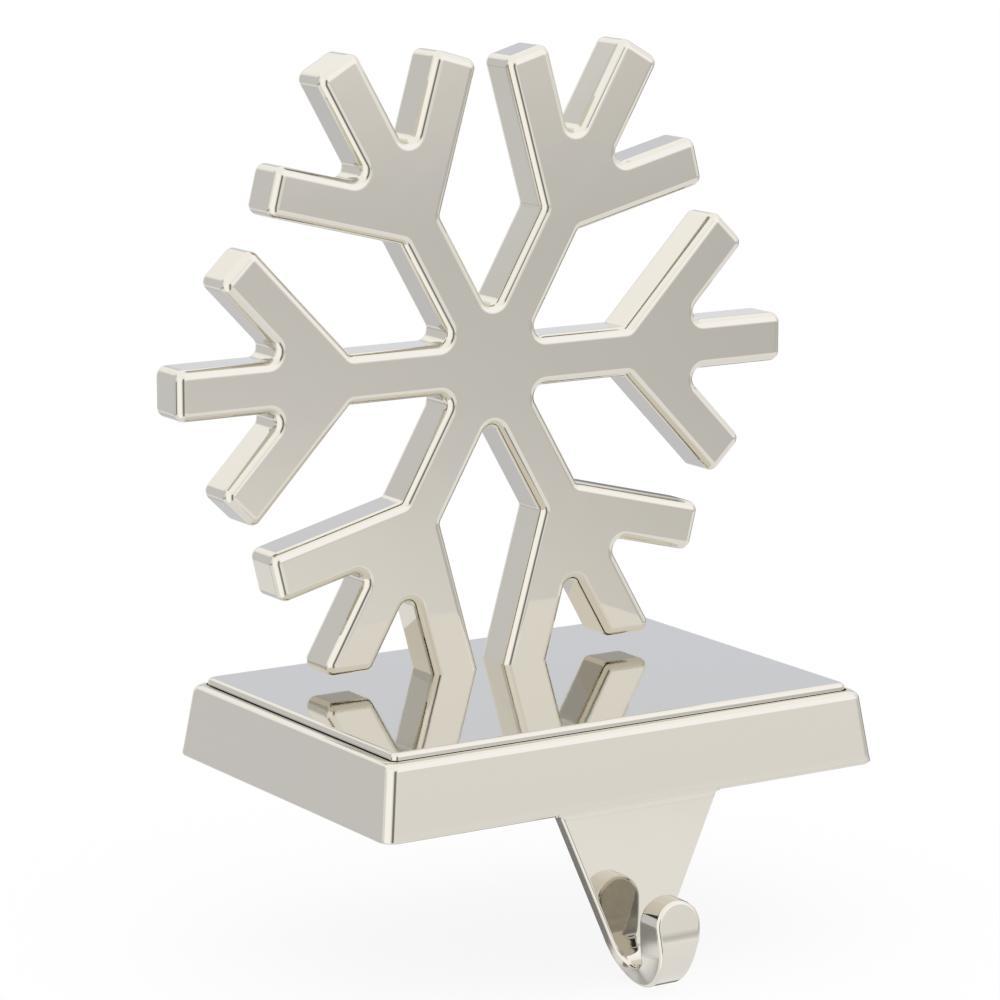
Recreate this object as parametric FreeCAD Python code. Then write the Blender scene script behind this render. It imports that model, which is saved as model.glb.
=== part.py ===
import FreeCAD, Part
import math
import os

# Mantel stocking holder, millimetres.
# The origin is at the middle of the pad's underside, where the holder rests on the shelf.
# +Z is up, -Y points into the room, and the hook hangs below Z = 0 in front of the shelf.

Vector = FreeCAD.Vector
UP = Vector(0, 0, 1)
BACK = Vector(0, 1, 0)

# Base: a drafted block with a ledge round a raised top panel.
base_width = 100.0
base_depth = 71.0
rim_height = 12.9           # the rim's foot to the ledge
side_draft = 1.8            # how far each side leans in over that height
panel_step = 1.3            # the raised panel above the ledge
panel_draft = 0.1
ledge_width = 1.9
corner_round = 1.3          # upright corners
rim_bevel = 0.5             # the rim's foot
ledge_round = 0.7
panel_round = 0.8

# Underside of the base, cored out of the casting.
wall = 5.0
roof = 4.5
core_draft = 0.6
core_corner = 3.0
rib_thickness = 2.5
rib_spacing = 27.0
pad_recess = 0.6            # the pad's glued face lies this far above the rim's foot
boss_wall = 2.4

# Non-slip pad.
pad_thickness = 1.5
pad_margin = 2.4            # in from the rim on the sides and the back
pad_corner = 3.0
pad_clearance = 0.2         # in its recess, all round
plate_gap = 0.6             # between the hook plate's back and the pad

# Snowflake: six equal arms, each with two side prongs.
arm_width = 8.9
arm_reach = 62.3            # centre to the end of an arm
prong_root = 30.4           # centre to the point where the side prongs branch off
prong_reach = 29.3          # from that point to the end of a side prong
prong_angle = 46.0          # between an arm and its side prongs
flake_thickness = 8.6
flake_front = 10.5          # its front face, behind the middle of the base
flake_height = 68.2         # its centre above the rim's foot
front_round = 1.7
back_bevel = 1.3
hub_round = 1.9             # hollow corners between two arms
crotch_round = 1.7          # hollow corners between an arm and a prong
stub_gap = 2.4              # the cut-off ends of the lower arms above the panel
foot_trim = 4.0             # cut off each foot at the panel

# Hook: a tapered plate in line with the front of the base, curled forward at its foot.
plate_top_width = 32.0
plate_thickness = 2.8
plate_crease = 0.8          # the drafted front runs on this far below the rim's foot
plate_root_round = 1.2
plate_shoulder = 3.6        # how far the plate's top widens inside the foot of the base
plate_overlap = 1.0         # how far it reaches up inside the base
waist_width = 5.6           # where the tapered plate runs into the curl
waist_drop = 29.5           # the rim's foot to the waist
waist_round = 7.0
hook_reach = 12.2           # the base's front to the front of the curl
curl_drop = 22.9            # the rim's foot to the centre of the curl
throat = 5.5                # the gap that the stocking's loop drops into
throat_drop = 24.4          # the rim's foot to the centre of the throat's round
tip_width = 8.9
tip_drop = 14.1             # the rim's foot to the tip's top
front_lean = 9.0            # the tip thickens downwards in front and behind
back_lean = 6.0

# Screws from below, one into each foot.
screw_radius = 2.0
screw_clearance = 0.25
screw_engagement = 8.0
screw_seat = 4.0            # metal between a screw's head and the panel
head_radius = 3.9
head_height = 2.4
head_bevel = 0.9
head_clearance = 0.5
drive_slot = 0.9
drive_span = 4.2
drive_depth = 1.4
hole_spare = 1.5            # tapped depth past the screw's end
drill_point = 1.2

# Places that follow from the sizes.
rim_foot = pad_thickness - pad_recess
ledge_top = rim_foot + rim_height
panel_top = ledge_top + panel_step
front_plane = -base_depth / 2
plate_back = front_plane + plate_thickness
flake_centre = rim_foot + flake_height
flake_middle = flake_front + flake_thickness / 2
curl_centre = rim_foot - curl_drop
throat_centre = rim_foot - throat_drop
tip_top = rim_foot - tip_drop


def frustum(width, depth, foot, height, draft):
    """Block with a rectangular foot whose four sides lean in by draft over its height."""
    wedge = Part.makeWedge(-width / 2, foot, -depth / 2, -depth / 2 + draft, -width / 2 + draft,
                           width / 2, foot + height, depth / 2, depth / 2 - draft, width / 2 - draft)
    wedge.rotate(Vector(0, 0, 0), Vector(1, 0, 0), 90)
    return wedge


def upright_edges(shape):
    """Edges that climb, so not those round the foot or the top."""
    return [edge for edge in shape.Edges if edge.BoundBox.ZLength > 0.5]


def edges_at(shape, level):
    """Edges that lie flat at one height."""
    return [edge for edge in shape.Edges
            if edge.BoundBox.ZLength < 1e-4 and abs(edge.BoundBox.ZMin - level) < 1e-4]


def edges_behind(shape, distance):
    """Edges that lie in one upright plane, at a distance behind the middle of the base."""
    return [edge for edge in shape.Edges
            if edge.BoundBox.YLength < 1e-4 and abs(edge.BoundBox.YMin - distance) < 1e-4]


def meet(start, heading, other_start, other_heading):
    """Point where two lines of the (x, z) plane cross."""
    cross = heading[0] * other_heading[1] - heading[1] * other_heading[0]
    gap_x = other_start[0] - start[0]
    gap_z = other_start[1] - start[1]
    along = (gap_x * other_heading[1] - gap_z * other_heading[0]) / cross
    return (start[0] + along * heading[0], start[1] + along * heading[1])


def rounded_outline(corners, plane_y):
    """Closed wire through (x, z, radius) corners, with an arc at each corner whose radius isn't 0."""
    bends = []
    for index, (x, z, radius) in enumerate(corners):
        corner = Vector(x, plane_y, z)
        last_x, last_z = corners[index - 1][:2]
        next_x, next_z = corners[(index + 1) % len(corners)][:2]
        before = Vector(last_x - x, 0, last_z - z).normalize()
        after = Vector(next_x - x, 0, next_z - z).normalize()
        half_angle = before.getAngle(after) / 2
        reach = radius / math.tan(half_angle)
        middle = corner + (before + after).normalize() * (radius / math.sin(half_angle) - radius)
        bends.append((corner + before * reach, middle, corner + after * reach, radius))
    edges = []
    for index, (start, middle, end, radius) in enumerate(bends):
        edges.append(Part.LineSegment(bends[index - 1][2], start).toShape())
        if radius:
            edges.append(Part.Arc(start, middle, end).toShape())
    return Part.Wire(edges)


def arm_corners(angle, left_reach, right_reach, cut_level):
    """Corners of one arm from its right-hand elbow round its end to its left-hand elbow.

    An arm points at an angle from +X, and a cut level trims its end flat at that height.
    """
    turn = math.radians(angle)
    out = (math.cos(turn), math.sin(turn))
    left = (-out[1], out[0])
    root = (out[0] * prong_root, flake_centre + out[1] * prong_root)

    def side_corners(side, reach):
        """Elbow, two prong corners, crotch and arm end on one side (1 is left, -1 right)."""
        branch = turn + side * math.radians(prong_angle)
        heading = (math.cos(branch), math.sin(branch))
        outward = (-side * heading[1], side * heading[0])
        half = arm_width / 2
        edge = (side * left[0] * half, flake_centre + side * left[1] * half)
        near = (root[0] + outward[0] * half, root[1] + outward[1] * half)
        far = (root[0] - outward[0] * half, root[1] - outward[1] * half)
        elbow = meet(edge, out, near, heading)
        crotch = meet(edge, out, far, heading)
        if cut_level is None:
            end = (edge[0] + out[0] * arm_reach, edge[1] + out[1] * arm_reach)
        else:
            end = meet(edge, out, (0, cut_level), (1, 0))
        return [
            (elbow[0], elbow[1], 0),
            (near[0] + heading[0] * reach, near[1] + heading[1] * reach, 0),
            (far[0] + heading[0] * reach, far[1] + heading[1] * reach, 0),
            (crotch[0], crotch[1], crotch_round),
            (end[0], end[1], 0),
        ]

    return side_corners(-1, right_reach) + side_corners(1, left_reach)[::-1]


def foot_line():
    """Where the right foot's centre line branches off its arm, and its heading."""
    arm = math.radians(300)
    branch = arm - math.radians(prong_angle)
    root = (prong_root * math.cos(arm), flake_centre + prong_root * math.sin(arm))
    return root, (math.cos(branch), math.sin(branch))


def make_snowflake():
    """Six arms in one outline, extruded, rounded in front, bevelled behind, its feet cut to the panel."""
    root, heading = foot_line()
    foot_reach = (panel_top - root[1]) / heading[1] + foot_trim
    stub_level = panel_top + stub_gap
    arm_ends = {
        0: (prong_reach, prong_reach, None),
        60: (prong_reach, prong_reach, None),
        120: (prong_reach, prong_reach, None),
        180: (prong_reach, prong_reach, None),
        240: (foot_reach, prong_reach, stub_level),
        300: (prong_reach, foot_reach, stub_level),
    }
    corners = []
    for angle, (left_reach, right_reach, cut_level) in arm_ends.items():
        corners += arm_corners(angle, left_reach, right_reach, cut_level)
        hollow = math.radians(angle + 30)
        corners.append((arm_width * math.cos(hollow), flake_centre + arm_width * math.sin(hollow),
                        hub_round))
    outline = rounded_outline(corners, flake_front)
    flake = Part.Face(outline).extrude(BACK * flake_thickness)
    flake = flake.makeFillet(front_round, edges_behind(flake, flake_front))
    flake = flake.makeChamfer(back_bevel, edges_behind(flake, flake_front + flake_thickness))
    below = Part.makeBox(base_width, base_depth, foot_reach,
                         Vector(-base_width / 2, front_plane, panel_top - foot_reach))
    flake = flake.cut(below)
    for x in screw_places():
        flake = flake.cut(tapped_hole(x))
    return flake


def screw_places():
    """The screws stand upright and meet the leaning feet's centre lines halfway up their holes."""
    root, heading = foot_line()
    offset = meet(root, heading, (0, panel_top + screw_engagement / 2), (1, 0))[0]
    return (-offset, offset)


def tapped_hole(x):
    """Blind hole with a drill point, at the thread's outer radius."""
    depth = screw_engagement + hole_spare
    hole = Part.makeCylinder(screw_radius, depth, Vector(x, flake_middle, panel_top))
    point = Part.makeCone(screw_radius, 0, drill_point, Vector(x, flake_middle, panel_top + depth))
    return hole.fuse(point)


def make_screw(x):
    """Pan head screw, head down, with a cross recess."""
    seat = panel_top - screw_seat
    crown = seat - head_height
    end = panel_top + screw_engagement
    profile = Part.makePolygon([
        Vector(0, 0, crown),
        Vector(head_radius - head_bevel, 0, crown),
        Vector(head_radius, 0, crown + head_bevel),
        Vector(head_radius, 0, seat),
        Vector(screw_radius, 0, seat),
        Vector(screw_radius, 0, end),
        Vector(0, 0, end),
        Vector(0, 0, crown),
    ])
    screw = Part.Face(profile).revolve(Vector(0, 0, 0), UP, 360)
    for long_x, long_y in ((drive_span, drive_slot), (drive_slot, drive_span)):
        screw = screw.cut(Part.makeBox(long_x, long_y, drive_depth, Vector(-long_x / 2, -long_y / 2, crown)))
    screw.translate(Vector(x, flake_middle, 0))
    return screw


def make_pad(grow, foot, height):
    """The pad's rounded rectangle, grown by a clearance where it makes the recess."""
    left = base_width / 2 - pad_margin + grow
    rear = base_depth / 2 - pad_margin + grow
    front = plate_back + plate_gap - grow
    pad = Part.makeBox(2 * left, rear - front, height, Vector(-left, front, foot))
    return pad.makeFillet(pad_corner, upright_edges(pad))


def make_core():
    """Space cored out under the roof, less the ribs and the screw bosses."""
    depth = panel_top - roof - rim_foot
    core = frustum(base_width - 2 * wall, base_depth - 2 * wall, rim_foot, depth, core_draft)
    core = core.makeFillet(core_corner, upright_edges(core))
    for x in (-rib_spacing, 0, rib_spacing):
        core = core.cut(Part.makeBox(rib_thickness, base_depth, depth,
                                     Vector(x - rib_thickness / 2, front_plane, rim_foot)))
    core = core.cut(Part.makeBox(base_width, rib_thickness, depth,
                                 Vector(-base_width / 2, flake_middle - rib_thickness / 2, rim_foot)))
    boss_radius = head_radius + head_clearance + boss_wall
    for x in screw_places():
        core = core.cut(Part.makeCylinder(boss_radius, depth, Vector(x, flake_middle, rim_foot)))
    return core


def make_base():
    """Drafted block and panel, cored from below, with the holes for the screws."""
    block = frustum(base_width, base_depth, rim_foot, rim_height, side_draft)
    block = block.makeFillet(corner_round, upright_edges(block))
    block = block.makeFillet(ledge_round, edges_at(block, ledge_top))
    block = block.makeChamfer(rim_bevel, edges_at(block, rim_foot))
    inset = side_draft + ledge_width
    panel = frustum(base_width - 2 * inset, base_depth - 2 * inset, ledge_top - panel_step, 2 * panel_step,
                    panel_draft)
    panel = panel.makeFillet(corner_round, upright_edges(panel))
    panel = panel.makeFillet(panel_round, edges_at(panel, panel_top))
    base = block.fuse(panel)
    base = base.cut(make_core())
    base = base.cut(make_pad(pad_clearance, rim_foot - pad_thickness, pad_thickness + pad_recess))
    seat = panel_top - screw_seat
    for x in screw_places():
        base = base.cut(Part.makeCylinder(head_radius + head_clearance, seat - rim_foot,
                                          Vector(x, flake_middle, rim_foot)))
        base = base.cut(Part.makeCylinder(screw_radius + screw_clearance, screw_seat * 2,
                                          Vector(x, flake_middle, seat)))
    return base


def hook_side_view():
    """The hook from the side: plate, round curl and leaning tip in one closed outline."""
    slope = side_draft / rim_height
    inside = rim_foot + plate_overlap
    crease = rim_foot - plate_crease
    face = front_plane - plate_crease * slope
    curl_radius = (plate_thickness + hook_reach) / 2
    curl_middle = plate_back - curl_radius
    throat_radius = throat / 2
    throat_middle = face - throat_radius
    front_turn = math.radians(front_lean)
    back_turn = math.radians(back_lean)
    curl_end = Vector(0, curl_middle - curl_radius * math.cos(front_turn),
                      curl_centre + curl_radius * math.sin(front_turn))
    throat_end = Vector(0, throat_middle - throat_radius * math.cos(back_turn),
                        throat_centre - throat_radius * math.sin(back_turn))
    tip = [
        curl_end,
        Vector(0, curl_end.y + (tip_top - curl_end.z) * math.tan(front_turn), tip_top),
        Vector(0, throat_end.y - (tip_top - throat_end.z) * math.tan(back_turn), tip_top),
        throat_end,
    ]
    plate = [
        Vector(0, face, throat_centre),
        Vector(0, face, crease),
        Vector(0, front_plane + (inside - rim_foot) * slope, inside),
        Vector(0, plate_back, inside),
        Vector(0, plate_back, curl_centre),
    ]
    curl_low = Vector(0, curl_middle, curl_centre - curl_radius)
    throat_low = Vector(0, throat_middle, throat_centre - throat_radius)
    edges = Part.makePolygon(plate).Edges + [Part.Arc(plate[-1], curl_low, tip[0]).toShape()]
    edges += Part.makePolygon(tip).Edges + [Part.Arc(tip[-1], throat_low, plate[0]).toShape()]
    return Part.Face(Part.Wire(edges)), throat_middle


def make_hook():
    """Side view carried across the width, then trimmed to the outlines of plate and tip."""
    side_view, split_y = hook_side_view()
    slab = side_view.extrude(Vector(base_width, 0, 0))
    slab.translate(Vector(-base_width / 2, 0, 0))
    half_top = plate_top_width / 2
    half_waist = waist_width / 2
    half_tip = tip_width / 2
    shoulder_x = half_top + plate_shoulder
    inside = rim_foot + plate_overlap
    waist = rim_foot - waist_drop
    lowest = waist - base_depth
    right_side = [
        (half_waist, lowest, 0),
        (half_waist, waist, waist_round),
        (half_top, rim_foot, plate_root_round),
        (shoulder_x, rim_foot, 0),
        (shoulder_x, inside, 0),
    ]
    left_side = [(-x, z, radius) for x, z, radius in right_side[::-1]]
    plate_view = rounded_outline(right_side + left_side, split_y)
    straight_top = tip_top - half_tip
    tip_sides = Part.makePolygon([
        Vector(-half_tip, split_y, straight_top),
        Vector(-half_waist, split_y, waist),
        Vector(-half_waist, split_y, lowest),
        Vector(half_waist, split_y, lowest),
        Vector(half_waist, split_y, waist),
        Vector(half_tip, split_y, straight_top),
    ])
    round_top = Part.Arc(tip_sides.Vertexes[-1].Point, Vector(0, split_y, tip_top),
                         tip_sides.Vertexes[0].Point)
    tip_view = Part.Wire(tip_sides.Edges + [round_top.toShape()])
    plate = slab.common(Part.Face(plate_view).extrude(BACK * base_depth))
    tip = slab.common(Part.Face(tip_view).extrude(BACK * -base_depth))
    return plate.fuse(tip).removeSplitter()


nodes = {
    "snowflake": make_snowflake(),
    "base_and_hook": make_base().fuse(make_hook()).removeSplitter(),
    "fixing_screws": Part.makeCompound([make_screw(x) for x in screw_places()]),
    "non_slip_pad": make_pad(0, 0, pad_thickness),
}

os.makedirs("parts", exist_ok=True)
for name, shape in nodes.items():
    shape.exportStep("parts/" + name + ".step")
    print(name, shape.isValid(), len(shape.Solids), round(shape.Volume, 1), shape.BoundBox)
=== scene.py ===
import bpy
import numpy as np
from mathutils import Matrix


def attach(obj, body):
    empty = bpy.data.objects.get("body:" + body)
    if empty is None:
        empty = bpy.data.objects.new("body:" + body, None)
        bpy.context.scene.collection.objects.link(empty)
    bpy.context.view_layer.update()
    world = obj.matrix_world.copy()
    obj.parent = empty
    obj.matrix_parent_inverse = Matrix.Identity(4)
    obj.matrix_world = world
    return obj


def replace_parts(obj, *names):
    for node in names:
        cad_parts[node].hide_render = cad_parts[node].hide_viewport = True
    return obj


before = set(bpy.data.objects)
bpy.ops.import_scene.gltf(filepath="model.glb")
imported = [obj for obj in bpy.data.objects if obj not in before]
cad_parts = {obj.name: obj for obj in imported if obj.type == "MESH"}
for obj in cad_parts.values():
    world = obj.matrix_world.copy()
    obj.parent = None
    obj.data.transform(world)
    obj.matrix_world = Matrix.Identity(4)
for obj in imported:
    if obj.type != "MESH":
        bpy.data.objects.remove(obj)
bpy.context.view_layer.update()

bpy.context.scene.view_settings.view_transform = "Standard"

# Sizes in millimetres, turned into metres as the pieces are made. The main ones are the part's own. The finer ones
# differ: softer rounds on the base, a flare at its rim and a fine seam; rounds where the part is sharp, at the ends
# and elbows of arms and prongs and along the hook's edges; and rounds where it has bevels, at the rim's foot and
# behind the snowflake. The curl is an ellipse in front, its width is blended where the part's has a step, and the
# tip's shoulder is lower. What shows stands up to 0.45 mm outside the part's solids and up to 1.8 mm inside them,
# within the part's box. The coring and the tapped holes, which don't show, are left out.
MM = 0.001

# Base.
base_half_width = 50.0
base_half_depth = 35.5
rim_foot = 0.9
ledge_top = 13.8
panel_top = 15.1
side_draft = 1.8
flare_height = 1.9
flare_reach = 0.06
rim_round = 0.5
corner_round = 2.2
ledge_round = 1.5
ledge_width = 1.9
panel_draft = 0.1
panel_corner = 1.3
panel_round = 0.8
seam_width = 0.3
seam_depth = 0.35
recess_half_width = 47.8
recess_front = -32.3
recess_back = 33.3
recess_corner = 3.0
recess_roof = 1.5

# Snowflake.
flake_centre = 69.1
flake_front = 10.5
flake_back = 19.1
arm_width = 8.9
arm_reach = 62.3
prong_root = 30.4
prong_reach = 29.3
prong_angle = np.radians(46.0)
stub_gap = 2.4
front_round = 1.7
back_round = 1.3
tip_round = 1.8
elbow_round = 1.0
crotch_round = 1.7
hub_round = 1.9

# Hook.
plate_back = -32.7
plate_half_top = 16.0
plate_root_round = 1.2
plate_crease = 0.1
waist_half = 2.8
waist = -28.6
waist_round = 7.0
curl_centre = -22.0
curl_middle = -40.2
curl_radius = 7.49
belly_centre = -20.2
throat_centre = -23.5
throat_middle = -38.36
throat_radius = 2.75
tip_half = 4.45
tip_top = -13.2
front_lean = np.radians(9.0)
back_lean = np.radians(6.0)
hook_edge_round = 0.7
widths_meet = 1.1           # turn round the curl, in radians, where the plate's width starts to give way to the tip's
widths_meet_turn = 0.9      # turn that this takes


def unit(vectors):
    """Vectors divided by their own lengths."""
    return vectors / np.linalg.norm(vectors, axis=-1, keepdims=True)


def grid_faces(points, normals):
    """Cells of a grid: each joins four neighbouring points, wound so that it faces along its normals."""
    def cells(values):
        """The four corners of every cell."""
        return np.stack([values[:-1, :-1], values[1:, :-1], values[1:, 1:], values[:-1, 1:]], axis=2).reshape(-1, 4, 3)
    corners, leaning = cells(points), cells(normals)
    facing = np.cross(corners[:, 2] - corners[:, 0], corners[:, 3] - corners[:, 1])
    if np.sum(facing * leaning.mean(axis=1)) < 0:
        corners, leaning = corners[:, ::-1], leaning[:, ::-1]
    return list(corners), list(leaning)


def flat_face(points, normal):
    """One flat face inside a closed line of points, wound so that it faces along its normal."""
    area = np.cross(points, np.roll(points, -1, axis=0)).sum(axis=0)
    if np.dot(area, normal) < 0:
        points = points[::-1]
    return [points], [np.broadcast_to(np.array(normal, float), points.shape)]


def sew(name, patches, finish):
    """One mesh from grids and flat faces.

    Corners at the same place become one point, and each face corner keeps the normal worked out for it.
    """
    corners = [face for faces, leaning in patches for face in faces]
    leaning = [face for faces, leaning in patches for face in leaning]
    sizes = np.array([len(face) for face in corners])
    owner = np.repeat(np.arange(len(sizes)), sizes)
    places, index = np.unique(np.round(np.concatenate(corners), 4), axis=0, return_inverse=True)
    index = index.reshape(-1)
    following = np.roll(index, -1)
    ends = np.cumsum(sizes) - 1
    following[ends] = index[ends - sizes + 1]
    kept = index != following
    sizes = np.bincount(owner[kept], minlength=len(sizes))
    kept &= (sizes >= 3)[owner]
    sizes = sizes[sizes >= 3]
    mesh = bpy.data.meshes.new(name)
    faces = np.split(index[kept], np.cumsum(sizes)[:-1])
    mesh.from_pydata(places * MM, [], [face.tolist() for face in faces])
    mesh.shade_smooth()
    mesh.normals_split_custom_set(unit(np.concatenate(leaning)[kept]))
    mesh.materials.append(finish)
    piece = bpy.data.objects.new(name, mesh)
    bpy.context.scene.collection.objects.link(piece)
    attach(piece, "root")
    return piece


def chain(corners, radii, steps=12):
    """An open line through rounded corners, with its outward normals.

    Each corner's arc touches both of its runs, and the normal turns evenly along it. The body lies to the left.
    """
    runs = unit(np.diff(corners, axis=0))
    before, after = runs[:-1], runs[1:]
    turn = np.arctan2(before[:, 0] * after[:, 1] - before[:, 1] * after[:, 0], (before * after).sum(axis=1))
    share = np.linspace(0, 1, steps)[None, :, None]
    start = np.stack([before[:, 1], -before[:, 0]], axis=-1)[:, None]
    side = before[:, None]
    angle = turn[:, None, None] * share
    normals = start * np.cos(angle) + side * np.sin(angle)
    centre = corners[1:-1] - before * (radii * np.tan(np.abs(turn) / 2))[:, None] \
        - start[:, 0] * (np.sign(turn) * radii)[:, None]
    points = centre[:, None] + normals * (np.sign(turn) * radii)[:, None, None]
    first = np.array([[runs[0, 1], -runs[0, 0]]])
    last = np.array([[runs[-1, 1], -runs[-1, 0]]])
    return (np.concatenate([corners[:1], points.reshape(-1, 2), corners[-1:]]),
            np.concatenate([first, normals.reshape(-1, 2), last]))


def cast_section(steps=9):
    """How far a cast edge lies in from its outline, its depth and its normal.

    It is a quarter round in front, a straight side and a quarter round behind.
    """
    front = np.linspace(0, np.pi / 2, steps)
    back = np.linspace(np.pi / 2, np.pi, steps)
    inset = np.concatenate([front_round * (1 - np.sin(front)), back_round * (1 - np.sin(back))])
    depth = np.concatenate([flake_front + front_round * (1 - np.cos(front)),
                            flake_back - back_round * (1 + np.cos(back))])
    angle = np.concatenate([front, back])
    return inset, depth, np.sin(angle), -np.cos(angle)


# Places in one arm's outline, after its right elbow, and the two arms that the holder stands on.
near_right, far_right, crotch_right, end_right, end_left, crotch_left, far_left, near_left = range(1, 9)
corners_per_arm = 11
lower_left_arm, lower_right_arm = 4, 5


def arm_outline(angles):
    """Corners of arms at their angles: along each arm and to its two sides.

    They run from its right elbow round its end to its left one, and then the hollow before the next arm.
    """
    half = arm_width / 2
    heading = np.array([np.cos(prong_angle), np.sin(prong_angle)])
    across = np.array([-heading[1], heading[0]])
    root = np.array([prong_root, 0])
    elbow = root + across * half + heading * (half - half * heading[0]) / heading[1]
    crotch = root - across * half + heading * (half + half * heading[0]) / heading[1]
    near = root + across * half + heading * prong_reach
    far = root - across * half + heading * prong_reach
    left = np.array([elbow, near, far, crotch, [arm_reach, half]])
    right = left * [1, -1]
    hollow = arm_width * np.array([[np.cos(np.pi / 6), 0.5]])
    one = np.concatenate([right, left[::-1], hollow])
    turned = np.einsum("kij,cj->kci", np.array([[np.cos(angles), -np.sin(angles)],
                                                [np.sin(angles), np.cos(angles)]]).transpose(2, 0, 1), one)
    return turned + [0, flake_centre]


def level_meet(inner, outer, level):
    """Where the line through two points reaches a height."""
    return inner + (outer - inner) * (level - inner[1]) / (outer[1] - inner[1])


def snowflake():
    """The cast section carried along the outline.

    Two open lines leave out the soles of the feet, and a point at their ends slides along its run until it's level
    with the panel.
    """
    arms = arm_outline(np.radians(np.arange(0, 360, 60)))
    stub = panel_top + stub_gap
    for arm in (lower_left_arm, lower_right_arm):
        arms[arm, end_right] = level_meet(arms[arm, crotch_right], arms[arm, end_right], stub)
        arms[arm, end_left] = level_meet(arms[arm, crotch_left], arms[arm, end_left], stub)
    radii = np.tile([elbow_round, tip_round, tip_round, crotch_round, tip_round,
                     tip_round, crotch_round, tip_round, tip_round, elbow_round, hub_round], (6, 1))
    outline, bends = arms.reshape(-1, 2), radii.reshape(-1)
    lower_left, lower_right = lower_left_arm * corners_per_arm, lower_right_arm * corners_per_arm
    left_far, left_near = lower_left + far_left, lower_left + near_left
    right_near, right_far = lower_right + near_right, lower_right + far_right
    for end, corner in ((left_far, left_far - 1), (left_near, left_near + 1),
                        (right_near, right_near - 1), (right_far, right_far + 1)):
        outline[end] = level_meet(outline[corner], outline[end], panel_top)
    around = np.concatenate([np.arange(right_far, len(outline)), np.arange(0, left_far + 1)])
    between = np.arange(left_near, right_near + 1)
    inset, depth, outward, forward = cast_section()
    patches, fronts, backs, columns = [], [], [], []
    for line in (around, between):
        points, normals = chain(outline[line], bends[line][1:-1])
        places = points[None] - normals[None] * inset[:, None, None]
        for end, inner in ((0, 1), (-1, -2)):
            run = points[end] - points[inner]
            places[:, end] += run * ((panel_top - places[:, end, 1]) / run[1])[:, None]
        deep = np.broadcast_to(depth[:, None], places.shape[:2])
        surface = np.stack([places[..., 0], deep, places[..., 1]], axis=-1)
        leaning = np.stack([normals[None, :, 0] * outward[:, None], np.broadcast_to(forward[:, None], deep.shape),
                            normals[None, :, 1] * outward[:, None]], axis=-1)
        patches.append(grid_faces(surface, leaning))
        fronts.append(surface[0])
        backs.append(surface[-1])
        columns.append((surface[:, 0], surface[:, -1]))
    patches.append(flat_face(np.concatenate(fronts), (0, -1, 0)))
    patches.append(flat_face(np.concatenate(backs), (0, 1, 0)))
    patches.append(flat_face(np.concatenate([columns[0][0], columns[1][1][::-1]]), (0, 0, -1)))
    patches.append(flat_face(np.concatenate([columns[0][1], columns[1][0][::-1]]), (0, 0, -1)))
    return patches


def side_lean(height):
    """How far a side has come in at a height above the rim's foot, and its slope.

    It is a straight draft, with a slight flare that falls off as the square of the way up it.
    """
    rim_height = ledge_top - rim_foot
    left = np.clip(1 - height / flare_height, 0, None)
    straight = (side_draft - flare_reach) / rim_height
    inset = flare_reach * (1 - left ** 2) + straight * height
    slope = straight + 2 * flare_reach * left / flare_height
    return inset, slope


def rectangle_rows(half_width, half_depth, middle, radius, height, outward, upward, steps=12):
    """Rows of rounded rectangles, one per height.

    A point is its corner's centre plus the radius along a normal that turns evenly through each quarter.
    """
    quarter = np.arange(4)[:, None] * np.pi / 2 + np.linspace(0, np.pi / 2, steps)[None]
    angle = np.concatenate([quarter.reshape(-1), [0]])
    corner = np.concatenate([np.repeat(np.arange(4), steps), [0]])
    sign_x = np.array([1, -1, -1, 1])[corner]
    sign_y = np.array([1, 1, -1, -1])[corner]
    rows = [np.asarray(value, float)[:, None] + np.zeros(len(angle)) for value in
            (half_width, half_depth, middle, radius, height, outward, upward)]
    half_width, half_depth, middle, radius, height, outward, upward = rows
    points = np.stack([sign_x * (half_width - radius) + radius * np.cos(angle),
                       middle + sign_y * (half_depth - radius) + radius * np.sin(angle), height], axis=-1)
    normals = np.stack([outward * np.cos(angle), outward * np.sin(angle), upward], axis=-1)
    return points, normals


def inset_rows(inset, radius, height, outward, upward):
    """Rounded rectangles that lie in from the rim's foot by an amount."""
    inset = np.asarray(inset, float)
    return rectangle_rows(base_half_width - inset, base_half_depth - inset, np.zeros(len(inset)), radius, height,
                          outward, upward)


def bend_points(inset, height, start, end, radius, steps=8):
    """A round in a side's profile: its centre, plus the radius along a normal that turns between two slopes.

    The slopes are angles above level.
    """
    angle = np.linspace(start, end, steps)
    return inset - radius * np.cos(angle), height + radius * np.sin(angle), np.cos(angle), np.sin(angle)


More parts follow.
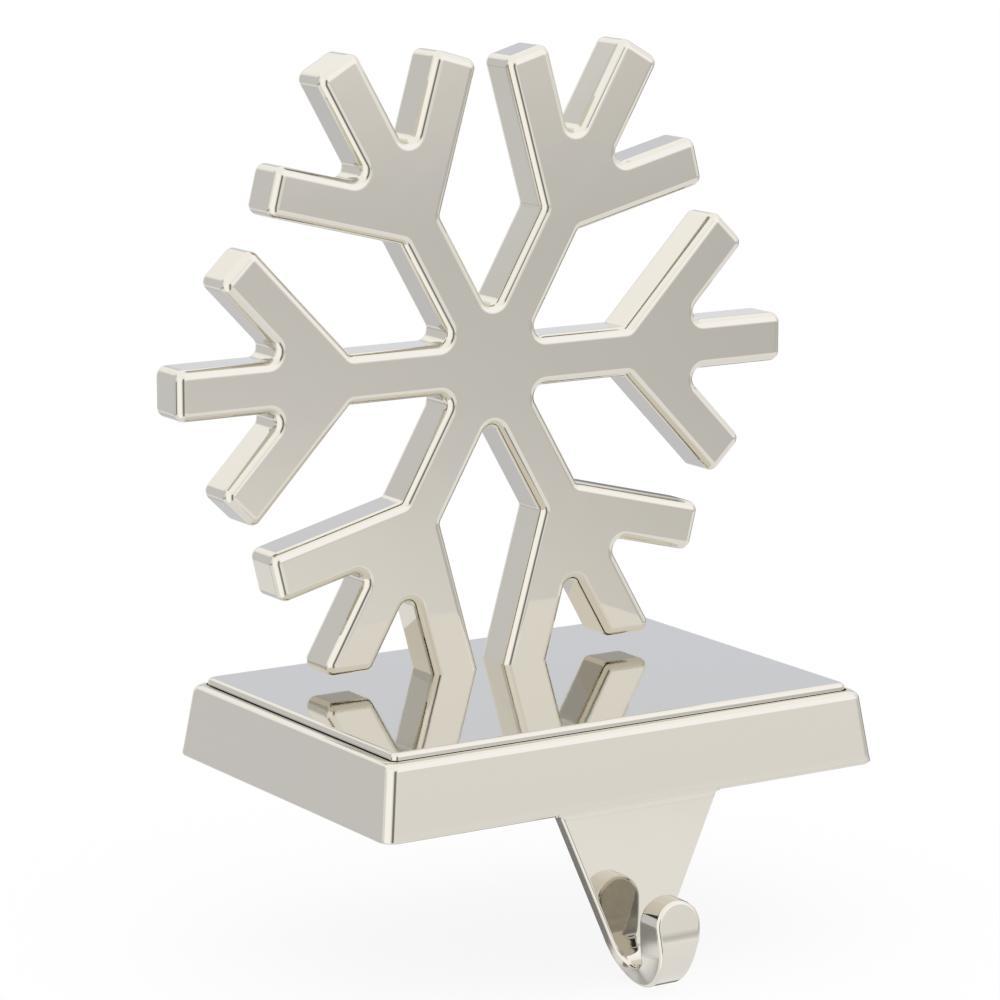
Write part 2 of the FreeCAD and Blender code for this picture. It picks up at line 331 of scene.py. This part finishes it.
def base():
    """Profiles carried round the rounded rectangle.

    They are the rim, the flared and drafted side, the ledge, the seam at the panel's foot and the panel, and below
    them the recess for the pad.
    """
    rise = ledge_top - rim_foot
    foot_slope = np.arctan(side_lean(np.array(0.0))[1])
    top_slope = np.arctan(side_lean(np.array(rise))[1])
    foot_centre = rim_round / np.cos(foot_slope) + side_lean(np.array(rim_round))[0]
    rim_inset, rim_z, rim_out, rim_up = bend_points(foot_centre, rim_foot + rim_round, -np.pi / 2,
                                                    np.arctan(side_lean(np.array(rim_round))[1]), rim_round)
    rises = np.concatenate([np.linspace(rim_round + 0.1, flare_height, 12), [rise - ledge_round - 0.2]])
    side_inset, side_slope = side_lean(rises)
    lean = np.arctan(side_slope)
    ledge_centre = side_lean(np.array(rise - ledge_round))[0] + ledge_round / np.cos(top_slope)
    ledge_inset, ledge_z, ledge_out, ledge_up = bend_points(ledge_centre, ledge_top - ledge_round, top_slope,
                                                            np.pi / 2, ledge_round)
    inset = np.concatenate([rim_inset, side_inset, ledge_inset])
    outer = inset_rows(inset, corner_round + 0 * inset, np.concatenate([rim_z, rim_foot + rises, ledge_z]),
                       np.concatenate([rim_out, np.cos(lean), ledge_out]),
                       np.concatenate([rim_up, np.sin(lean), ledge_up]))
    panel_foot = side_draft + ledge_width
    panel_slope = np.arctan(panel_draft / 2 / (panel_top - ledge_top))
    round_centre = panel_foot + panel_draft / 2 + panel_round
    panel_inset, panel_z, panel_out, panel_up = bend_points(round_centre, panel_top - panel_round, panel_slope,
                                                            np.pi / 2, panel_round)
    seam_foot = ledge_top - seam_depth
    panel_inset = np.concatenate([[panel_foot], panel_inset])
    panel_z = np.concatenate([[seam_foot], panel_z])
    panel = inset_rows(panel_inset, panel_corner + 0 * panel_inset, panel_z,
                       np.concatenate([[np.cos(panel_slope)], panel_out]),
                       np.concatenate([[np.sin(panel_slope)], panel_up]))
    pair = np.ones(2)
    seam = inset_rows((panel_foot - seam_width) * pair, panel_corner * pair, [ledge_top, seam_foot], -pair, 0 * pair)
    ledge, seam_floor = [(np.stack([near, far]), np.array([0, 0, 1.0]) + np.zeros((2, len(near), 3)))
                         for near, far in ((outer[0][-1], seam[0][0]), (seam[0][1], panel[0][0]))]
    recess_middle = (recess_front + recess_back) / 2
    recess_half_depth = (recess_back - recess_front) / 2
    recess = rectangle_rows(recess_half_width * pair, recess_half_depth * pair, recess_middle * pair,
                            recess_corner * pair, [recess_roof, rim_foot], -pair, 0 * pair)
    foot = (np.stack([recess[0][1], outer[0][0]]), np.array([0, 0, -1.0]) + np.zeros((2, len(outer[0][0]), 3)))
    patches = [grid_faces(*band) for band in (outer, ledge, seam, seam_floor, panel, recess, foot)]
    patches.append(flat_face(panel[0][-1][:-1], (0, 0, 1)))
    patches.append(flat_face(recess[0][0][:-1], (0, 0, -1)))
    return patches


def plate_widths():
    """Half the plate's width down its height.

    It is a root round under the rim, a straight taper and a round at the waist.
    """
    top = np.array([plate_half_top, rim_foot])
    narrow = np.array([waist_half, waist])
    below, beside = [0, 8], [4, 0]
    points = chain(np.array([narrow - below, narrow, top, top + beside]),
                   np.array([waist_round, plate_root_round]), steps=14)[0]
    return points[1:-1]


def tip_widths():
    """Half the curl's width up its outer side.

    It grows evenly from the waist to the tip's shoulder, and each end of that run is eased.
    """
    below, shoulder_drop = 8, 1
    shoulder = tip_top - tip_half - shoulder_drop
    waist_ease, shoulder_ease = 20.0, 30.0
    points = chain(np.array([[waist_half, waist - below], [waist_half, waist], [tip_half, shoulder],
                             [tip_half, tip_top]]), np.array([waist_ease, shoulder_ease]), steps=8)[0]
    return points[1:-1]


def front_of_plate(height):
    """The plate's front above its crease: the base's side carried on below the rim's foot at the slope it has there."""
    rise = height - rim_foot
    return -base_half_depth + side_lean(np.clip(rise, 0, None))[0] + np.minimum(rise, 0) * side_lean(np.array(0.0))[1]


def hook_stations():
    """Points down the J's outer and inner lines, with half its width at each.

    They cover the plate, the two arcs and the leaning tip. The inner line's arc starts lower and ends lower, so it has
    a straight run at each end. The outer arc is a circle behind and an ellipse in front.
    """
    root, taper = plate_widths(), tip_widths()
    levels = np.sort(np.concatenate([root[root[:, 1] > -2, 1], [rim_foot + 1.6, rim_foot + 0.8],
                                     plate_crease + np.array([0.06, 0.03, 0, -0.03, -0.06]),
                                     np.linspace(-2, curl_centre + 0.5, 24)]))[::-1]
    crease_y = front_of_plate(np.array(plate_crease))
    face = np.where(levels > plate_crease, front_of_plate(levels), crease_y)
    belly_drop = belly_centre - curl_centre + curl_radius
    turn = np.linspace(0, np.pi + np.arctan(np.tan(front_lean) * belly_drop / curl_radius), 64)
    outer = np.stack([curl_middle + curl_radius * np.cos(turn),
                      np.where(turn < np.pi / 2, curl_centre - curl_radius * np.sin(turn),
                               belly_centre - belly_drop * np.sin(turn))], axis=-1)
    back_run, front_run = 6, 9
    bent = np.interp(turn, [turn[back_run], turn[-front_run]], [0, np.pi - back_lean])
    inner = np.stack([throat_middle + throat_radius * np.cos(bent), throat_centre - throat_radius * np.sin(bent)],
                     axis=-1)
    inner[:back_run, 1] = np.linspace(curl_centre, throat_centre, back_run + 1)[:-1]
    rise = np.linspace(0, outer[-1, 1] - inner[-1, 1], front_run)
    inner[-front_run:] = inner[-front_run] + np.stack([-rise * np.tan(back_lean), rise], axis=-1)
    climb = np.linspace(0, tip_top - tip_half - outer[-1, 1], 5)[1:]
    outer_tip = outer[-1] + np.stack([climb * np.tan(front_lean), climb], axis=-1)
    inner_tip = inner[-1] + np.stack([-climb * np.tan(back_lean), climb], axis=-1)
    plate_half = np.interp(levels, root[:, 1], root[:, 0])
    middle = (outer[:, 1] + inner[:, 1]) / 2
    share = np.clip((turn - widths_meet) / widths_meet_turn, 0, 1)
    share = share * share * (3 - 2 * share)
    curl_half = (1 - share) * np.interp(middle, root[:, 1], root[:, 0]) \
        + share * np.interp(middle, taper[:, 1], taper[:, 0])
    tip_width = np.interp(outer_tip[:, 1], taper[:, 1], taper[:, 0])
    outer = np.concatenate([np.stack([plate_back + 0 * levels, levels], axis=-1), outer, outer_tip])
    inner = np.concatenate([np.stack([face, levels], axis=-1), inner, inner_tip])
    return outer, inner, np.concatenate([plate_half, curl_half, tip_width])


def rounded_section(steps):
    """Angles round a rounded rectangle.

    With them come the signs of the corner that each belongs to, along the thickness and along the width.
    """
    quarter = np.arange(4)[:, None] * np.pi / 2 + np.linspace(0, np.pi / 2, steps)[None]
    corner = np.concatenate([np.repeat(np.arange(4), steps), [0]])
    return (np.concatenate([quarter.reshape(-1), [0]]), np.array([1, -1, -1, 1])[corner],
            np.array([1, 1, -1, -1])[corner])


def hook():
    """The rounded section carried down the J, between its outer and inner lines.

    The tip's top is a half turn of the section's right-hand edge.
    """
    outer, inner, half = hook_stations()
    thick = np.linalg.norm(inner - outer, axis=1)[:, None]
    across = unit(inner - outer)
    steps = 7
    angle, sign_thick, sign_wide = rounded_section(steps)
    deep = thick / 2 + sign_thick * (thick / 2 - hook_edge_round) + hook_edge_round * np.cos(angle)
    wide = sign_wide * (half[:, None] - hook_edge_round) + hook_edge_round * np.sin(angle)
    points = np.stack([wide, outer[:, :1] + across[:, :1] * deep, outer[:, 1:] + across[:, 1:] * deep], axis=-1)
    along = np.gradient(points, axis=0)
    around = np.stack([np.cos(angle) + 0 * deep, -np.sin(angle) * across[:, :1], -np.sin(angle) * across[:, 1:]],
                      axis=-1)
    outwards = np.stack([np.sin(angle) + 0 * deep, np.cos(angle) * across[:, :1], np.cos(angle) * across[:, 1:]],
                        axis=-1)
    normals = unit(np.cross(along, around))
    normals *= np.sign((normals * outwards).sum(axis=-1, keepdims=True))
    patches = [grid_faces(points, normals), flat_face(points[0, :-1], (0, 0, 1))]
    edge = slice(0, 2 * steps)
    straight_top = outer[-1, 1]
    share = (deep[-1, edge] / thick[-1])[None]
    fan = np.linspace(0, np.pi, 33)[:, None]
    reach = wide[-1, edge][None]
    rise = reach * np.sin(fan)
    lean = np.tan(front_lean) * (1 - share) - np.tan(back_lean) * share
    gap = inner[-1, 0] - outer[-1, 0]
    cap = np.stack([reach * np.cos(fan), outer[-1, 0] + gap * share + lean * rise, straight_top + rise], axis=-1)
    turned = np.stack([-reach * np.sin(fan), lean * reach * np.cos(fan), reach * np.cos(fan)], axis=-1)
    sine, cosine = np.sin(angle[edge])[None], np.cos(angle[edge])[None]
    rolled = np.stack([np.cos(fan) * cosine, lean * np.sin(fan) * cosine - sine, np.sin(fan) * cosine], axis=-1)
    cap_normals = unit(np.cross(turned, rolled))
    outwards = np.stack([sine * np.cos(fan), cosine + 0 * fan, sine * np.sin(fan)], axis=-1)
    cap_normals *= np.sign((cap_normals * outwards).sum(axis=-1, keepdims=True))
    patches.append(grid_faces(cap, cap_normals))
    patches.append(flat_face(cap[:, 0], (0, np.cos(back_lean), np.sin(back_lean))))
    patches.append(flat_face(cap[:, -1], (0, -np.cos(front_lean), np.sin(front_lean))))
    return patches


def polished_nickel():
    """Bright warm grey metal, with a faint waviness left by casting and polishing and a little haze that varies."""
    finish = bpy.data.materials.new("polished_nickel")
    finish.use_nodes = True
    nodes, links = finish.node_tree.nodes, finish.node_tree.links
    shader = nodes["Principled BSDF"]
    shader.inputs["Base Color"].default_value = (0.665, 0.635, 0.565, 1)
    shader.inputs["Metallic"].default_value = 1
    place = nodes.new("ShaderNodeTexCoord")
    haze = nodes.new("ShaderNodeTexNoise")
    haze.inputs["Scale"].default_value = 45
    haze.inputs["Detail"].default_value = 4
    spread = nodes.new("ShaderNodeMapRange")
    spread.inputs["To Min"].default_value = 0.03
    spread.inputs["To Max"].default_value = 0.075
    links.new(place.outputs["Object"], haze.inputs["Vector"])
    links.new(haze.outputs["Fac"], spread.inputs["Value"])
    links.new(spread.outputs["Result"], shader.inputs["Roughness"])
    wave = nodes.new("ShaderNodeTexNoise")
    wave.inputs["Scale"].default_value = 110
    wave.inputs["Detail"].default_value = 1
    bump = nodes.new("ShaderNodeBump")
    bump.inputs["Strength"].default_value = 0.03
    bump.inputs["Distance"].default_value = 0.0005
    links.new(place.outputs["Object"], wave.inputs["Vector"])
    links.new(wave.outputs["Fac"], bump.inputs["Height"])
    links.new(bump.outputs["Normal"], shader.inputs["Normal"])
    return finish


def bright_zinc():
    """Plated screws: a cool grey metal, rougher in patches where it's handled."""
    finish = bpy.data.materials.new("bright_zinc")
    finish.use_nodes = True
    nodes, links = finish.node_tree.nodes, finish.node_tree.links
    shader = nodes["Principled BSDF"]
    shader.inputs["Base Color"].default_value = (0.55, 0.57, 0.6, 1)
    shader.inputs["Metallic"].default_value = 1
    place = nodes.new("ShaderNodeTexCoord")
    grain = nodes.new("ShaderNodeTexNoise")
    grain.inputs["Scale"].default_value = 900
    spread = nodes.new("ShaderNodeMapRange")
    spread.inputs["To Min"].default_value = 0.25
    spread.inputs["To Max"].default_value = 0.4
    links.new(place.outputs["Object"], grain.inputs["Vector"])
    links.new(grain.outputs["Fac"], spread.inputs["Value"])
    links.new(spread.outputs["Result"], shader.inputs["Roughness"])
    return finish


def dark_foam():
    """The pad: a dark grey closed-cell sheet with a fine pebbled skin."""
    finish = bpy.data.materials.new("dark_foam")
    finish.use_nodes = True
    nodes, links = finish.node_tree.nodes, finish.node_tree.links
    shader = nodes["Principled BSDF"]
    shader.inputs["Roughness"].default_value = 0.85
    place = nodes.new("ShaderNodeTexCoord")
    cells = nodes.new("ShaderNodeTexVoronoi")
    cells.inputs["Scale"].default_value = 1400
    shade = nodes.new("ShaderNodeValToRGB")
    shade.color_ramp.elements[0].color = (0.02, 0.02, 0.021, 1)
    shade.color_ramp.elements[1].color = (0.045, 0.045, 0.047, 1)
    bump = nodes.new("ShaderNodeBump")
    bump.inputs["Strength"].default_value = 0.4
    bump.inputs["Distance"].default_value = 0.0002
    links.new(place.outputs["Object"], cells.inputs["Vector"])
    links.new(cells.outputs["Distance"], shade.inputs["Fac"])
    links.new(shade.outputs["Color"], shader.inputs["Base Color"])
    links.new(cells.outputs["Distance"], bump.inputs["Height"])
    links.new(bump.outputs["Normal"], shader.inputs["Normal"])
    return finish


def camera():
    """The photograph's place and angle: the camera looks along a bearing and a pitch, with a slight roll."""
    bearing, pitch, roll = np.radians([-32.72, 11.23, 0.13])
    back = np.array([np.sin(bearing) * np.cos(pitch), -np.cos(bearing) * np.cos(pitch), np.sin(pitch)])
    right = unit(np.cross(-back, [0, 0, 1]))
    up = np.cross(right, -back)
    turned_right = right * np.cos(roll) + up * np.sin(roll)
    turned_up = up * np.cos(roll) - right * np.sin(roll)
    eye = np.array([-393.17, -603.59, 190.10]) * MM
    view = bpy.data.cameras.new("camera")
    focal_pixels, sensor_width, photo_width = 4239.7, 36, 1000
    view.sensor_width = sensor_width
    view.lens = focal_pixels * sensor_width / photo_width
    view.clip_start = 0.01
    seat = bpy.data.objects.new("camera", view)
    bpy.context.scene.collection.objects.link(seat)
    seat.matrix_world = Matrix(np.column_stack([turned_right, turned_up, back, eye]).tolist() + [[0, 0, 0, 1]])
    bpy.context.scene.camera = seat


def towards(nodes, links, bearing):
    """How far each direction lies from a bearing, either way, and how high it is above level, in radians."""
    place = nodes.new("ShaderNodeTexCoord")
    parts = []
    for axis in ((np.cos(bearing), -np.sin(bearing), 0), (np.sin(bearing), np.cos(bearing), 0), (0, 0, 1)):
        part = nodes.new("ShaderNodeVectorMath")
        part.operation = "DOT_PRODUCT"
        part.inputs[1].default_value = axis
        links.new(place.outputs["Generated"], part.inputs[0])
        parts.append(part.outputs["Value"])
    turn = nodes.new("ShaderNodeMath")
    turn.operation = "ARCTAN2"
    links.new(parts[0], turn.inputs[0])
    links.new(parts[1], turn.inputs[1])
    rise = nodes.new("ShaderNodeMath")
    rise.operation = "ARCSINE"
    links.new(parts[2], rise.inputs[0])
    return turn.outputs["Value"], rise.outputs["Value"]


def within(nodes, links, value, middle, half, edge):
    """1 where a value is within half of a middle, falling to 0 over a soft edge."""
    distance = nodes.new("ShaderNodeMath")
    distance.operation = "SUBTRACT"
    links.new(value, distance.inputs[0])
    distance.inputs[1].default_value = np.radians(middle)
    size = nodes.new("ShaderNodeMath")
    size.operation = "ABSOLUTE"
    links.new(distance.outputs["Value"], size.inputs[0])
    fade = nodes.new("ShaderNodeMapRange")
    fade.interpolation_type = "SMOOTHSTEP"
    fade.inputs["From Min"].default_value = np.radians(half + edge)
    fade.inputs["From Max"].default_value = np.radians(half - edge)
    links.new(size.outputs["Value"], fade.inputs["Value"])
    return fade.outputs["Result"]


def add_zone(nodes, links, colour, bearings, levels, edges, tint):
    """A soft-edged patch of the room between two bearings and two levels, laid over what is there so far."""
    turn, rise = towards(nodes, links, np.radians(sum(bearings) / 2))
    mask = nodes.new("ShaderNodeMath")
    mask.operation = "MULTIPLY"
    links.new(within(nodes, links, turn, 0, (bearings[1] - bearings[0]) / 2, edges[0]), mask.inputs[0])
    links.new(within(nodes, links, rise, sum(levels) / 2, (levels[1] - levels[0]) / 2, edges[1]), mask.inputs[1])
    mix = nodes.new("ShaderNodeMixRGB")
    mix.inputs["Color2"].default_value = (*tint, 1)
    links.new(mask.outputs["Value"], mix.inputs["Fac"])
    links.new(colour, mix.inputs["Color1"])
    return mix.outputs["Color"]


def room(nodes, links):
    """The room that the metal mirrors: pale, darker just below level, with soft boxes and dim gaps beside them.

    Bearings turn clockwise from the back, and the camera is at 213. No gap is darker than about a quarter of white,
    so a flat face that mirrors one looks grey and not black.
    """
    rise = towards(nodes, links, 0)[1]
    level = nodes.new("ShaderNodeMapRange")
    level.inputs["From Min"].default_value = -np.pi / 2
    level.inputs["From Max"].default_value = np.pi / 2
    links.new(rise, level.inputs["Value"])
    ramp = nodes.new("ShaderNodeValToRGB")
    links.new(level.outputs["Result"], ramp.inputs["Fac"])
    stops = [(-90, (1, 1, 1.02)), (-20, (1.08, 1.08, 1.1)), (-16, (1.12, 1.12, 1.13)), (-12, (1.04, 1.04, 1.04)),
             (-10, (0.84, 0.84, 0.86)), (-7.5, (0.77, 0.77, 0.78)), (-5.5, (1, 1, 1.01)), (20, (1.15, 1.15, 1.15)),
             (40, (1.3, 1.3, 1.3)), (90, (1.3, 1.3, 1.3))]
    while len(ramp.color_ramp.elements) < len(stops):
        ramp.color_ramp.elements.new(0.5)
    for element, (angle, tint) in zip(ramp.color_ramp.elements, stops):
        element.position = (angle + 90) / 180
        element.color = (*tint, 1)
    colour = ramp.outputs["Color"]
    key_box = ((115, 178), (5, 60), (3, 3), (1.36, 1.37, 1.44))
    right_wall = ((100, 146), (-14, -4), (8, 2), (0.66, 0.66, 0.66))
    left_wall = ((292, 338), (-28, 38), (4, 4), (0.78, 0.79, 0.82))
    left_foot = ((300, 332), (-26, -15), (3, 2), (0.55, 0.55, 0.57))
    back_box = ((8, 60), (8, 26), (3, 3), (0.78, 0.81, 0.9))
    back_floor = ((-16, 21), (-50, -24), (3, 3), (0.72, 0.73, 0.78))
    side_box = ((216, 268), (-60, 35), (3, 3), (1.36, 1.36, 1.36))
    camera_gap = ((186, 206), (-40, 20), (3, 4), (0.26, 0.26, 0.26))
    side_gap = ((276, 291), (-24, -8), (3, 3), (0.27, 0.26, 0.25))
    far_gap = ((23, 43), (-17, -2), (4, 3), (0.26, 0.26, 0.26))
    right_gap = ((54, 80), (-22, 2), (6, 4), (0.32, 0.31, 0.3))
    low_gap = ((28, 52), (-44, -30), (4, 4), (0.27, 0.26, 0.24))
    for zone in (key_box, right_wall, left_wall, left_foot, back_box, back_floor, side_box, camera_gap, side_gap,
                 far_gap, right_gap, low_gap):
        colour = add_zone(nodes, links, colour, *zone)
    return colour


def surroundings():
    """Plain white light from all round for everything but mirrors, which see the room."""
    world = bpy.data.worlds.new("surroundings")
    bpy.context.scene.world = world
    world.use_nodes = True
    world.cycles.sampling_method = "NONE"
    nodes, links = world.node_tree.nodes, world.node_tree.links
    plain = nodes["Background"]
    plain.inputs["Color"].default_value = (1, 1, 1, 1)
    mirrored = nodes.new("ShaderNodeBackground")
    links.new(room(nodes, links), mirrored.inputs["Color"])
    ray = nodes.new("ShaderNodeLightPath")
    mix = nodes.new("ShaderNodeMixShader")
    links.new(ray.outputs["Is Glossy Ray"], mix.inputs["Fac"])
    links.new(plain.outputs["Background"], mix.inputs[1])
    links.new(mirrored.outputs["Background"], mix.inputs[2])
    links.new(mix.outputs["Shader"], nodes["World Output"].inputs["Surface"])


def floor():
    """A pale floor just under the hook.

    The camera sees it white, with the holder's faint shadow. Metal sees the floor itself under the base, as it is lit
    and shaded, and the room beyond.
    """
    mesh = bpy.data.meshes.new("floor")
    reach, level = 6.0, -0.0303
    mesh.from_pydata([(-reach, -reach, level), (reach, -reach, level), (reach, reach, level), (-reach, reach, level)],
                     [], [(0, 1, 2, 3)])
    finish = bpy.data.materials.new("pale_floor")
    finish.use_nodes = True
    nodes, links = finish.node_tree.nodes, finish.node_tree.links
    diffuse = nodes["Principled BSDF"]
    diffuse.inputs["Base Color"].default_value = (0.8, 0.8, 0.8, 1)
    diffuse.inputs["Roughness"].default_value = 1
    diffuse.inputs["Specular IOR Level"].default_value = 0
    white = nodes.new("ShaderNodeEmission")
    white.inputs["Color"].default_value = (1, 1, 1, 1)
    white.inputs["Strength"].default_value = 1.04
    ray = nodes.new("ShaderNodeLightPath")
    share = nodes.new("ShaderNodeMath")
    share.operation = "MULTIPLY"
    emission_share = 0.85
    share.inputs[1].default_value = emission_share
    links.new(ray.outputs["Is Camera Ray"], share.inputs[0])
    lit = nodes.new("ShaderNodeMixShader")
    links.new(share.outputs["Value"], lit.inputs["Fac"])
    links.new(diffuse.outputs["BSDF"], lit.inputs[1])
    links.new(white.outputs["Emission"], lit.inputs[2])
    clear = nodes.new("ShaderNodeBsdfTransparent")
    place = nodes.new("ShaderNodeTexCoord")
    centred = nodes.new("ShaderNodeMapping")
    # Under the base is an oval 95 by 77 mm, 10 mm behind the middle, at whose rim the length is 1.
    across, along, shift = 21, 26, -0.26
    centred.inputs["Location"].default_value = (0, shift, 0)
    centred.inputs["Scale"].default_value = (across, along, 0)
    distance = nodes.new("ShaderNodeVectorMath")
    distance.operation = "LENGTH"
    under = nodes.new("ShaderNodeMapRange")
    under.interpolation_type = "SMOOTHSTEP"
    oval_outer, oval_inner = 1.12, 0.92
    under.inputs["From Min"].default_value = oval_outer
    under.inputs["From Max"].default_value = oval_inner
    mirrored = nodes.new("ShaderNodeMixShader")
    links.new(place.outputs["Object"], centred.inputs["Vector"])
    links.new(centred.outputs["Vector"], distance.inputs[0])
    links.new(distance.outputs["Value"], under.inputs["Value"])
    links.new(under.outputs["Result"], mirrored.inputs["Fac"])
    links.new(clear.outputs["BSDF"], mirrored.inputs[1])
    links.new(diffuse.outputs["BSDF"], mirrored.inputs[2])
    mix = nodes.new("ShaderNodeMixShader")
    links.new(ray.outputs["Is Glossy Ray"], mix.inputs["Fac"])
    links.new(lit.outputs["Shader"], mix.inputs[1])
    links.new(mirrored.outputs["Shader"], mix.inputs[2])
    links.new(mix.outputs["Shader"], nodes["Material Output"].inputs["Surface"])
    mesh.materials.append(finish)
    piece = bpy.data.objects.new("floor", mesh)
    bpy.context.scene.collection.objects.link(piece)


nickel = polished_nickel()
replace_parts(sew("snowflake_cast", snowflake(), nickel), "snowflake")
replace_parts(sew("base_block", base(), nickel), "base_and_hook")
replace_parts(sew("stocking_hook", hook(), nickel), "base_and_hook")
for node, finish in (("fixing_screws", bright_zinc()), ("non_slip_pad", dark_foam())):
    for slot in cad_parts[node].material_slots:
        slot.material = finish
camera()
surroundings()
floor()
